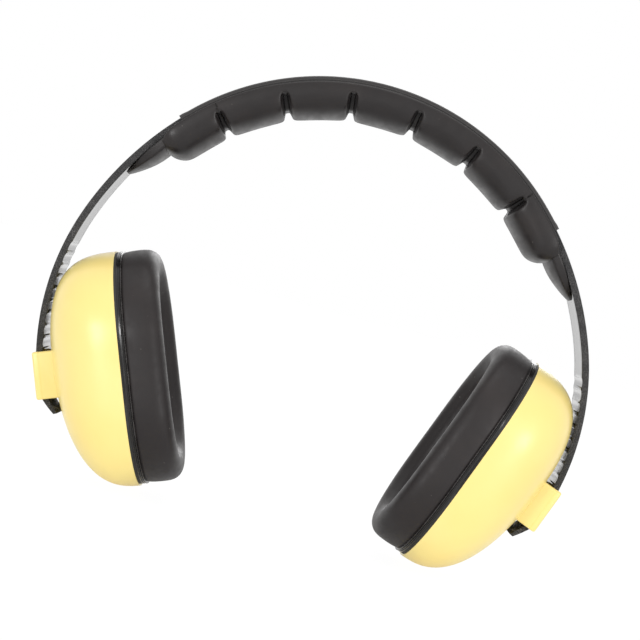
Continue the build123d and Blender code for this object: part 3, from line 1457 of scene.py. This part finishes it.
        def shape(at: Vector) -> Vector:
            """Return where a point of the plain block lies on the pad.

            Args:
                at: The point.

            Returns:
                The point on the pad.
            """
            share = (at.x + 1) / 2 * spans
            span = min(int(share), spans - 1)
            x = self.warped(share - span, stops[span], stops[span + 1])
            cut, rounding = self.pinch(x, notches)
            flank = clamp(abs(at.y) * self.flank_slope - self.flank_slope / 2)
            floor = self.notch_rise + (self.notch_shoulder - self.notch_rise) * flank
            lift = cut * floor + (1 - cut) * rounding
            down = -at.z if at.z < -NEAR else 0.0
            y, depth = self.section(at.y, down, max(cut, rounding * self.corner_pull), lift)
            if nose:
                past = clamp((x - (stops[-1] - self.nose)) / self.nose)
                rise = past**self.nose_rise * (self.nose_top - self.edge_top)
                rounded = reach * sqrt(max(0.0, 1 - past**self.nose_round))
                crest = max(rounded, rise + self.nose_end)
                depth = self.edge_top + rise + (depth - self.edge_top) / reach * (crest - rise)
                y *= 1 - self.nose_taper * past**3
            return Vector((x, y, -depth))

        Bench.mould(piece, shape)
        return piece

    def tongue(self, side: Side) -> bpy.types.Object:
        """Return one leaf-shaped tongue, in the flat.

        Args:
            side: The side of the head.

        Returns:
            The tongue.
        """
        shift = side.value * self.turn
        start = self.path.along(self.tongue_start + shift)
        end = self.path.along(self.tongue_tip + shift)
        piece = self.block(f"pad_tongue_{side.word}", *self.tongue_faces)
        half = self.tongue_width / 2

        def leaf(at: Vector) -> Vector:
            """Return where a point of the plain block lies on the tongue.

            Args:
                at: The point.

            Returns:
                The point on the tongue.
            """
            share = sin((at.x + 1) / 2 * pi / 2)
            wide = half * sqrt(max(0.0, 1 - share**self.tongue_round)) + self.tongue_rim
            thin, flat = self.tongue_thin, self.tongue_flat
            late, soft = self.tongue_plump
            plump = thin + (1 - thin) * max(0.0, 1 - share**late) ** soft
            plump *= flat + (1 - flat) * sin(pi * min(share * self.tongue_rise, 1))
            thick = self.tongue_depth * plump * (1 - self.tongue_edge * abs(at.y) ** 3)
            x = start + (end - start) * share
            return Vector((x, at.y * wide, at.z * thick - self.tongue_top))

        Bench.mould(piece, leaf)
        return piece

    def swell(self, piece: bpy.types.Object, notches: Sequence[float]) -> None:
        """Swell a run of pillows between its welds.

        Args:
            piece: The piece.
            notches: Where the notches lie.
        """

        def held(at: Vector) -> float:
            """Return how firmly the welds hold a point.

            Args:
                at: The point.

            Returns:
                1 where a weld holds it, and 0 elsewhere.
            """
            gap = min(abs(at.x - notch) for notch in notches)
            at_bed = -at.z < self.bed_top + self.weld_depth
            at_notch = gap < self.notch_width / 2 + self.weld_side
            return 1.0 if at_bed or at_notch else 0.0

        self.inflation.run(piece, self.swell_cap, held)

    def build(self, line: bpy.types.Object, finishes: Finishes) -> None:
        """Build the pad's middle, and its end pillow and tongue on both sides.

        Args:
            line: The curve that flat pieces are bent along.
            finishes: The object's finishes.
        """
        whole = self.notches(Side.RIGHT)
        ends = (whole[0] - self.lap, *whole[1:-1], whole[-1] + self.lap)
        middle = self.pillows("pad_middle", ends, whole, nose=False)
        self.swell(middle, whole)
        parts: list[tuple[bpy.types.Object, Side | None, float]]
        parts = [(middle, None, self.fill_middle)]
        for side in Side:
            seen = self.notches(side)
            end = self.path.along(self.end_station + side.value * self.turn)
            name = f"pad_end_{side.word}"
            last = self.pillows(name, (seen[-1] - self.lap, end), seen, nose=True)
            self.swell(last, seen)
            parts += [(last, side, self.fill_end), (self.tongue(side), side, self.fill_tongue)]
        for piece, side, fill in parts:
            if side is Side.LEFT:
                Bench.mirror(piece)
            self.path.bend(piece, line)
            Bench.modify(piece, "SUBSURF", levels=1, render_levels=1)
            Bench.smooth(piece, self.smooth_angle)
            dress(piece, finishes.pad, Slot.PAD)
            self.path.settle(piece, side)
            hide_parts("head_pad_skin", "head_pad_foam")


# Ear cups
@dataclass(frozen=True)
class Loop:
    """One loop of a piece that is drawn up in loops: half sizes, height and shift along X."""

    half_length: float
    half_width: float
    height: float
    shift: float = 0.0


@dataclass
class EarCup:
    """One ear cup: shell with its strap lug, cushion plate, padded ear cushion and liner cloth.

    A cup is modelled with X up along its rim, Z out of the cup and its rim in the plane Z = 0.
    """

    path: BandPath
    length: float = 76.6
    width: float = 63.0
    corner: float = 27.0
    corner_steps: int = 18
    side_near: float = 2.0
    side_cuts: tuple[int, int] = (9, 3)
    evening: int = 9
    depth: float = 24.1
    lower_depth: float = 23.6
    lower_reach: float = 0.009
    above: tuple[float, float] = (3.0, 3.2)
    below: tuple[float, float] = (2.6, 2.0)
    across: tuple[float, float] = (2.6, 2.6)
    wall: float = 2.0
    station: float = 110.8
    rise: float = 3.4
    standoff: float = 29.5
    lug_length: float = 15.5
    lug_centre: float = 0.75
    lug_width: float = 24.9
    lug_root: float = 22.3
    lug_top: float = 29.8
    lug_step: float = 27.9
    lug_bevel: float = 0.7
    lug_inset: float = 0.12
    lug_lap: float = 0.4
    slot_width: float = 20.5
    slot_clearance: float = 0.15
    arm_clearance: float = 82.75
    arm_half: float = 13.0
    arm_fade: float = 9.0
    plate_thickness: float = 2.0
    spigot_gap: float = 0.15
    spigot_wall: float = 1.6
    ear_length: float = 55.0
    ear_width: float = 40.0
    cushion_depth: float = 12.0
    cushion_wedge: float = 0.015
    crest: float = 5.9
    cushion_cap: float = 0.12
    weld_height: float = 0.8
    foam_inset: float = 0.8
    foam_gap: float = 0.5
    foam_start: float = 0.8
    cloth_height: float = 4.6
    cloth_thickness: float = 0.35
    cloth_dish: float = 0.4
    cloth_ripple: float = 0.05
    cloth_waves: float = 11.0
    cloth_gap: float = 0.7
    cloth_rings: int = 16
    cloth_margin: float = 5.0
    cloth_area: float = 3.62e-3
    rings: int = 40
    ring_crowding: float = 0.92
    inflation: Inflation = Inflation(pressure=2.5)

    @property
    def low(self) -> float:
        """The height of the cushion plate's face, below the rim."""
        return -self.plate_thickness

    def outline(self, name: str) -> bpy.types.Object:
        """Return the oval outline of the rim as a loop of edges, its curvature evened out.

        Args:
            name: The piece's name.

        Returns:
            The loop of edges.
        """
        Bench.clear()
        bpy.ops.mesh.primitive_plane_add(size=1)
        piece = Bench.named(name)
        piece.scale = (self.length, self.width, 1)
        Bench.apply(piece)
        near, cuts = self.side_near, self.side_cuts
        with Bench.editing(piece):
            bpy.ops.mesh.bevel(offset=self.corner, segments=self.corner_steps, affect="VERTICES")
            bpy.ops.mesh.select_all(action="SELECT")
            bpy.ops.mesh.delete(type="ONLY_FACE")
            Bench.choose(piece, "EDGE", lambda c, d: abs(d.y) < NEAR and abs(c.x) < near)
            bpy.ops.mesh.subdivide(number_cuts=cuts[0])
            Bench.choose(piece, "EDGE", lambda c, d: abs(d.x) < NEAR and abs(c.y) < near)
            bpy.ops.mesh.subdivide(number_cuts=cuts[1])
            bpy.ops.mesh.select_all(action="SELECT")
            bpy.ops.mesh.vertices_smooth(factor=0.5, repeat=self.evening)
            points = [v.co for v in bmesh.from_edit_mesh(piece.data).verts]
            long, wide = (max(abs(point[axis]) for point in points) for axis in (0, 1))
            grow = (self.length / 2 / long, self.width / 2 / wide, 1)
            bpy.ops.transform.resize(value=grow, center_override=(0, 0, 0))
        return piece

    def draw_up(
        self, name: str, loops: Sequence[Loop], closed: bool, capped: bool = False
    ) -> bpy.types.Object:
        """Draw a piece up from the rim's outline, loop by loop.

        Args:
            name: The piece's name.
            loops: The loops in order.
            closed: Whether the last loop meets the first. Otherwise it is closed at a pole.
            capped: Whether the first loop is filled.

        Returns:
            The piece.
        """
        piece = self.outline(name)
        now = Loop(self.length / 2, self.width / 2, 0)
        with Bench.editing(piece):
            for i, loop in enumerate(loops):
                if i:
                    Bench.extrude((0, 0, 0))
                move = (loop.shift - now.shift, 0, loop.height - now.height)
                grow = (loop.half_length / now.half_length, loop.half_width / now.half_width, 1)
                bpy.ops.transform.resize(value=grow, center_override=(now.shift, 0, now.height))
                bpy.ops.transform.translate(value=move)
                now = loop
                if capped and not i:
                    bpy.ops.mesh.edge_face_add()
            if not closed:
                bpy.ops.mesh.merge(type="CENTER")
            bpy.ops.mesh.select_all(action="SELECT")
            bpy.ops.mesh.remove_doubles(threshold=TOUCHING)
            Bench.face_outwards()
        return piece

    def ring(self, inset: float, height: float) -> Loop:
        """Return a loop that lies inside the rim's outline by an inset."""
        return Loop(self.length / 2 - inset, self.width / 2 - inset, height)

    def ear(self, grow: float, height: float) -> Loop:
        """Return a loop round the ear opening, grown on every side."""
        return Loop(self.ear_length / 2 + grow, self.ear_width / 2 + grow, height)

    @staticmethod
    def fall(share: float, powers: tuple[float, float]) -> float:
        """Return 1 at the rim and 0 at the pole, squarer the higher the two powers are."""
        return (1 - share ** powers[0]) ** (1 / powers[1])

    def dome(self) -> list[Loop]:
        """Return the loops of the shell: square-shouldered above, longer and softer below.

        Returns:
            The loops, from the rim towards the pole.
        """
        half = self.length / 2
        loops = []
        for i in range(self.rings):
            share = sin(pi / 2 * (i / self.rings) ** self.ring_crowding)
            above = self.fall(share, self.above)
            below = self.fall(min(share * self.depth / self.lower_depth, 1), self.below)
            below *= 1 + self.lower_reach * (1 - share)
            wide = self.width / 2 * self.fall(share, self.across)
            long, shift = half * (above + below) / 2, half * (above - below) / 2
            loops.append(Loop(long, wide, self.depth * share, shift))
        return loops

    def clear_of_arm(self, at: Vector) -> Vector:
        """Return a point of the shell, held in where the arm slides past it.

        Args:
            at: The point.

        Returns:
            The point, held in.
        """
        s = at.x + self.rise
        w = at.z + self.path.arm_radius - self.standoff
        reach = hypot(s, w)
        near = 1 - clamp((abs(at.y) - self.arm_half) / self.arm_fade)
        over = (reach - self.arm_clearance) * ease(near)
        if over <= 0:
            return at
        return Vector((at.x - s / reach * over, at.y, at.z - w / reach * over))

    def lug(self) -> bpy.types.Object:
        """Return the strap lug, with its slot cut to the arm's curve.

        Returns:
            The lug.
        """
        height = self.lug_top - self.lug_step
        middle = (self.lug_centre, 0, self.lug_step + height / 2)
        piece = Bench.box("lug", (self.lug_length, self.lug_width, height), middle)
        top = self.lug_top - NEAR
        Bench.round_edges(
            piece, lambda c, d: c.z > top or abs(d.z) > FACING, self.lug_bevel, 4
        )
        height = self.lug_step - self.lug_root + self.lug_lap
        middle = (self.lug_centre, 0, self.lug_root + height / 2)
        size = (self.lug_length - self.lug_inset, self.lug_width - 2 * self.lug_inset, height)
        root = Bench.box("lug_root", size, middle)
        Bench.round_edges(root, lambda c, d: abs(d.z) > FACING, self.lug_bevel, 4)
        Bench.cut(piece, root, "UNION")
        radius = self.path.arm_radius + self.slot_clearance
        middle = (-self.rise, 0, self.standoff - self.path.arm_radius)
        Bench.cut(piece, Bench.rod("slot", radius, self.slot_width, middle, 360))
        return piece

    def shell(self) -> bpy.types.Object:
        """Return the hollow shell with its lug.

        Returns:
            The shell.
        """
        piece = self.draw_up("ear_cup_right", self.dome(), closed=False)
        Bench.mould(piece, self.clear_of_arm)
        with Bench.editing(piece):
            faces = bmesh.from_edit_mesh(piece.data).faces
            top = max(faces, key=lambda f: f.calc_center_median().z)
            if top.normal.z < 0:
                bpy.ops.mesh.flip_normals()
        Bench.modify(piece, "SOLIDIFY", thickness=self.wall, offset=-1, use_even_offset=False)
        Bench.cut(piece, self.lug(), "UNION")
        return piece

    def plate(self) -> bpy.types.Object:
        """Return the cushion plate: a lined rim, the ledge round the ear and the snap-in spigot.

        Returns:
            The plate.
        """
        low = self.low
        spigot = self.wall + self.spigot_gap
        inner = spigot + self.spigot_wall
        rim = (
            *((spigot, 0.0), (0.55, 0.0), (0.3, -0.12), (0.3, -0.52), (0.55, -0.60)),
            *((0.55, -0.74), (0.22, -0.84), (0.16, -1.35), (0.42, -1.42), (0.42, -1.55)),
            *((0.24, -1.64), (0.24, low + 0.15), (0.4, low)),
        )
        ledge = ((1.2, low), (0.2, low + 0.3), (0.0, low + 0.8), (0.2, -0.2), (0.6, 0.0))
        snap = (
            *((inner + 0.3, 0.0), (inner, 0.3), (inner, 3.8), (inner - 0.2, 4.0)),
            *((spigot + 0.3, 4.0), (spigot, 3.6), (spigot, 3.2), (spigot - 0.3, 3.0)),
            *((spigot - 0.3, 2.6), (spigot, 2.4), (spigot, 0.0)),
        )
        loops = [self.ring(*place) for place in rim]
        loops += [self.ear(*place) for place in ledge]
        loops += [self.ring(*place) for place in snap]
        return self.draw_up("cup_plate_right", loops, closed=True)

    def wedge(self, at: Vector) -> Vector:
        """Return a point of the cushion, which is a little shallower above and deeper below."""
        slope = 1 - self.cushion_wedge * 2 * at.x / self.length
        return Vector((at.x, at.y, self.low + (at.z - self.low) * slope))

    def cushion_loops(self, inset: float) -> list[Loop]:
        """Return the loops of the cushion's cross-section, all of it drawn in by an inset.

        Args:
            inset: How far it is drawn in, in millimetres.

        Returns:
            The loops.
        """
        deep = self.cushion_depth - inset
        outer = (
            *((1.7, 0.0), (1.1, 0.012), (0.72, 0.05), (0.55, 0.13), (0.46, 0.26), (0.42, 0.42)),
            *((0.42, 0.58), (0.52, 0.71), (0.95, 0.825), (1.8, 0.915), (3.0, 0.97), (4.4, 0.995)),
            *((self.crest, 1.0), (7.0, 0.995), (7.8, 0.965), (8.5, 0.905), (9.4, 0.815)),
        )
        inner = (
            *((0.75, 0.74), (0.25, 0.62), (0.05, 0.49), (0.1, 0.345)),
            *((0.3, 0.21), (0.8, 0.1), (1.5, 0.025), (2.2, 0.0)),
        )
        loops = []
        for edge, drop in outer:
            side = (edge < self.crest) - (edge > self.crest)
            loops.append(self.ring(edge + side * inset, self.low - drop * deep))
        loops += [self.ear(grow + inset, self.low - drop * deep) for grow, drop in inner]
        return [*loops, loops[0]]

    def cushion(self) -> bpy.types.Object:
        """Return the cushion's skin: pinched at the plate, full at its crest.

        Returns:
            The skin.
        """
        piece = self.draw_up("ear_cushion_right", self.cushion_loops(0.0), closed=True)
        Bench.mould(piece, self.wedge)
        weld = self.low - self.weld_height
        self.inflation.run(piece, self.cushion_cap, lambda at: float(at.z > weld))
        Bench.modify(piece, "SUBSURF", levels=1, render_levels=1)
        return piece

    def cushion_foam(self) -> bpy.types.Object:
        """Return the foam ring in the cushion.

        Returns:
            The foam ring.
        """
        loops = self.cushion_loops(self.foam_inset)
        piece = self.draw_up("ear_cushion_foam_right", loops, closed=True)
        Bench.mould(piece, self.wedge)
        return piece

    def cup_foam(self) -> bpy.types.Object:
        """Return the foam that fills the bottom of the cup, to just above the liner.

        Returns:
            The foam.
        """
        share = (self.depth - self.wall - self.foam_gap) / self.depth
        start = self.cloth_height + self.foam_start
        sizes = [[share * size for size in astuple(loop)] for loop in self.dome()]
        loops = [Loop(*size) for size in sizes if size[2] > start]
        piece = self.draw_up("cup_foam_pad_right", loops, closed=False, capped=True)
        Bench.mould(piece, self.clear_of_arm)
        return piece

    def weld(self) -> bpy.types.Object:
        """Return the pressed edge of the cushion's skin against the plate.

        Returns:
            The pressed edge.
        """
        places = ((1.6, 0.02), (0.35, 0.02), (0.1, 0.12), (0.1, 0.34), (0.35, 0.46), (1.6, 0.6))
        loops = [self.ring(inset, self.low - drop) for inset, drop in places]
        return self.draw_up("cushion_weld_right", [*loops, loops[0]], closed=True)

    def liner(self) -> bpy.types.Object:
        """Return the cloth over the cup's foam, dished a little where the foam gives.

        Returns:
            The cloth.
        """
        edge = self.ring(self.wall + self.cloth_gap, self.cloth_height)
        steps = self.cloth_rings
        loops = []
        for i in range(steps):
            share = 1 - i / steps
            dish = self.cloth_dish * (1 - share**3)
            dish += self.cloth_ripple * sin(share * self.cloth_waves)
            long, wide = edge.half_length * share, edge.half_width * share
            loops.append(Loop(long, wide, edge.height + dish))
        piece = self.draw_up("liner_cloth_right", loops, closed=False)
        Bench.modify(piece, "SOLIDIFY", thickness=self.cloth_thickness, offset=0)
        return piece

    def stand(self) -> Matrix:
        """Return the matrix that puts a cup on the +X arm, and turns millimetres into metres.

        Returns:
            The matrix.
        """
        turn = radians(self.station)
        out = Vector((sin(turn), 0, cos(turn)))
        up = Vector((-out.z, 0, out.x))
        rim = self.path.point(self.station) - out * self.standoff + up * self.rise
        side = out.cross(up)
        columns = Matrix((up, side, out)).transposed().to_4x4()
        return Matrix.Scale(MM, 4) @ Matrix.Translation(rim) @ columns

    def build(self, finishes: Finishes) -> None:
        """Build both cups.

        Args:
            finishes: The object's finishes.
        """
        made = (
            (self.shell(), finishes.cup, Slot.CUP, "cup_shell", 34),
            (self.plate(), finishes.plate, Slot.PLATE, "cushion_plate", 40),
            (self.cushion(), finishes.cushion, Slot.CUSHION, "cushion_skin", 60),
            (self.weld(), finishes.weld, Slot.CUSHION, "cushion_skin", 50),
            (self.liner(), finishes.cloth, Slot.LINER, "foam_cloth", 60),
            (self.cushion_foam(), finishes.cushion_foam, Slot.CUSHION_FOAM, "cushion_foam", 60),
            (self.cup_foam(), finishes.cup_foam, Slot.CUP_FOAM, "cup_foam", 60),
        )
        stand = self.stand()
        for piece, material, slot, node, angle in made:
            piece.data.transform(stand)
            Bench.smooth(piece, angle)
            other = Bench.mirrored(piece, piece.name.replace("right", "left"))
            for side, item in ((Side.RIGHT, piece), (Side.LEFT, other)):
                dress(item, material, slot)
                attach(item, f"cup_{side.word}")
                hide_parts(f"{node}_{side.word}")


# Studio
@dataclass
class Studio:
    """Pale floor, soft lights and the camera, with its angles in degrees."""

    focal: float = 113.2
    distance: float = 660.0
    roll: float = 14.95
    azimuth: float = 0.4
    elevation: float = 1.0
    aim: Point = (-1.353, 0.0, 70.171)
    floor_size: float = 12.0
    floor_gap: float = 0.0002
    floor_glow: float = 1.045
    glow_seen: float = 0.63
    glow_share: float = 0.3
    ambient: float = 0.66

    def camera(self) -> None:
        """Add the camera: level with the object's middle, close by, and rolled."""
        Bench.clear()
        turn, climb = radians(self.azimuth), radians(self.elevation)
        away = Vector((-sin(turn) * cos(climb), -cos(turn) * cos(climb), sin(climb)))
        bpy.ops.object.camera_add(location=(Vector(self.aim) + away * self.distance) * MM)
        eye = bpy.context.object
        eye.name = "camera"
        level = (-away).to_track_quat("-Z", "Y").to_matrix()
        eye.rotation_euler = (level @ Matrix.Rotation(radians(self.roll), 3, "Z")).to_euler()
        eye.data.lens = self.focal
        eye.data.sensor_width = 36
        eye.data.clip_start = 0.01
        eye.data.clip_end = 50
        bpy.context.scene.camera = eye

    def lamp(self, name: str, place: Point, size: float, power: float) -> None:
        """Add a square area lamp that faces the object's middle.

        Args:
            name: The lamp's name.
            place: Where it stands, in metres.
            size: Its side, in metres.
            power: Its power, in watts.
        """
        bpy.ops.object.light_add(type="AREA", location=place)
        lamp = bpy.context.object
        lamp.name = name
        lamp.data.size = size
        lamp.data.energy = power
        aim = Vector(self.aim) * MM - Vector(place)
        lamp.rotation_euler = aim.to_track_quat("-Z", "Y").to_euler()

    def floor(self) -> None:
        """Add the pale floor that keeps the object's shadow."""
        Bench.clear()
        bpy.ops.mesh.primitive_plane_add(size=self.floor_size, location=(0, 0, -self.floor_gap))
        plane = Bench.named("floor")
        s = Surface("floor_white")
        seen = s.node("ShaderNodeLightPath")[0]
        tone = s.noise(s.place(), 3, 2).ramp(0.2, 0.8)
        grey = s.mix(tone, colour(243, 243, 243), colour(247, 247, 247))
        paper = s.node("ShaderNodeBsdfDiffuse", {}, {"Color": grey})[0]
        light = {"Color": (1, 1, 1, 1), "Strength": self.floor_glow}
        glow = s.node("ShaderNodeEmission", {}, light)[0]
        share = seen * self.glow_seen + self.glow_share
        both = s.node("ShaderNodeMixShader", {}, {0: share, 1: paper, 2: glow})[0]
        s.node("ShaderNodeOutputMaterial", {}, {"Surface": both})
        plane.data.materials.append(s.material)
        Bench.apply(plane)
        plane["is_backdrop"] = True

    def world(self) -> None:
        """Set the white surround: plain light, and pure white where it is seen or mirrored."""
        world = bpy.data.worlds.new("studio")
        bpy.context.scene.world = world
        s = Surface("studio", world)
        names = {value.socket.name: value for value in s.node("ShaderNodeLightPath")}
        seen = names["Is Camera Ray"] + names["Is Glossy Ray"] + names["Is Transmission Ray"]
        strength = seen.ramp(0.0, 1.0, self.ambient, 1.0)
        light = s.node("ShaderNodeBackground", {}, {"Color": (1, 1, 1, 1), "Strength": strength})[0]
        s.node("ShaderNodeOutputWorld", {}, {"Surface": light})

    def build(self) -> None:
        """Build the studio."""
        self.camera()
        self.floor()
        self.world()
        self.lamp("lamp_left", (-0.46, -0.83, 0.1), size=0.2, power=1.95)
        self.lamp("lamp_right", (0.58, -0.75, 0.15), size=0.25, power=1.95)
        self.lamp("lamp_back", (0.1, 0.85, 0.4), size=0.4, power=1.6)
        self.lamp("lamp_top", (0.0, -0.15, 0.95), size=0.7, power=1.9)
        bpy.context.scene.view_settings.view_transform = "Standard"


def main() -> None:
    """Build the whole object and its studio."""
    logging.basicConfig(level=logging.INFO, format="%(name)s: %(message)s")
    path = BandPath()
    finishes = Finishes()
    finishes.dress_nodes()
    line = path.curve()
    Headband(path).build(line, finishes)
    HeadPad(path).build(line, finishes)
    bpy.data.objects.remove(line)
    EarCup(path).build(finishes)
    Studio().build()
    Bench.clear()
    boxes = {"cad": CAD_BOX, "visual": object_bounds()}
    {k: [list(map(float, corner)) for corner in v] for k, v in boxes.items()}


if __name__ == "__main__":
    main()
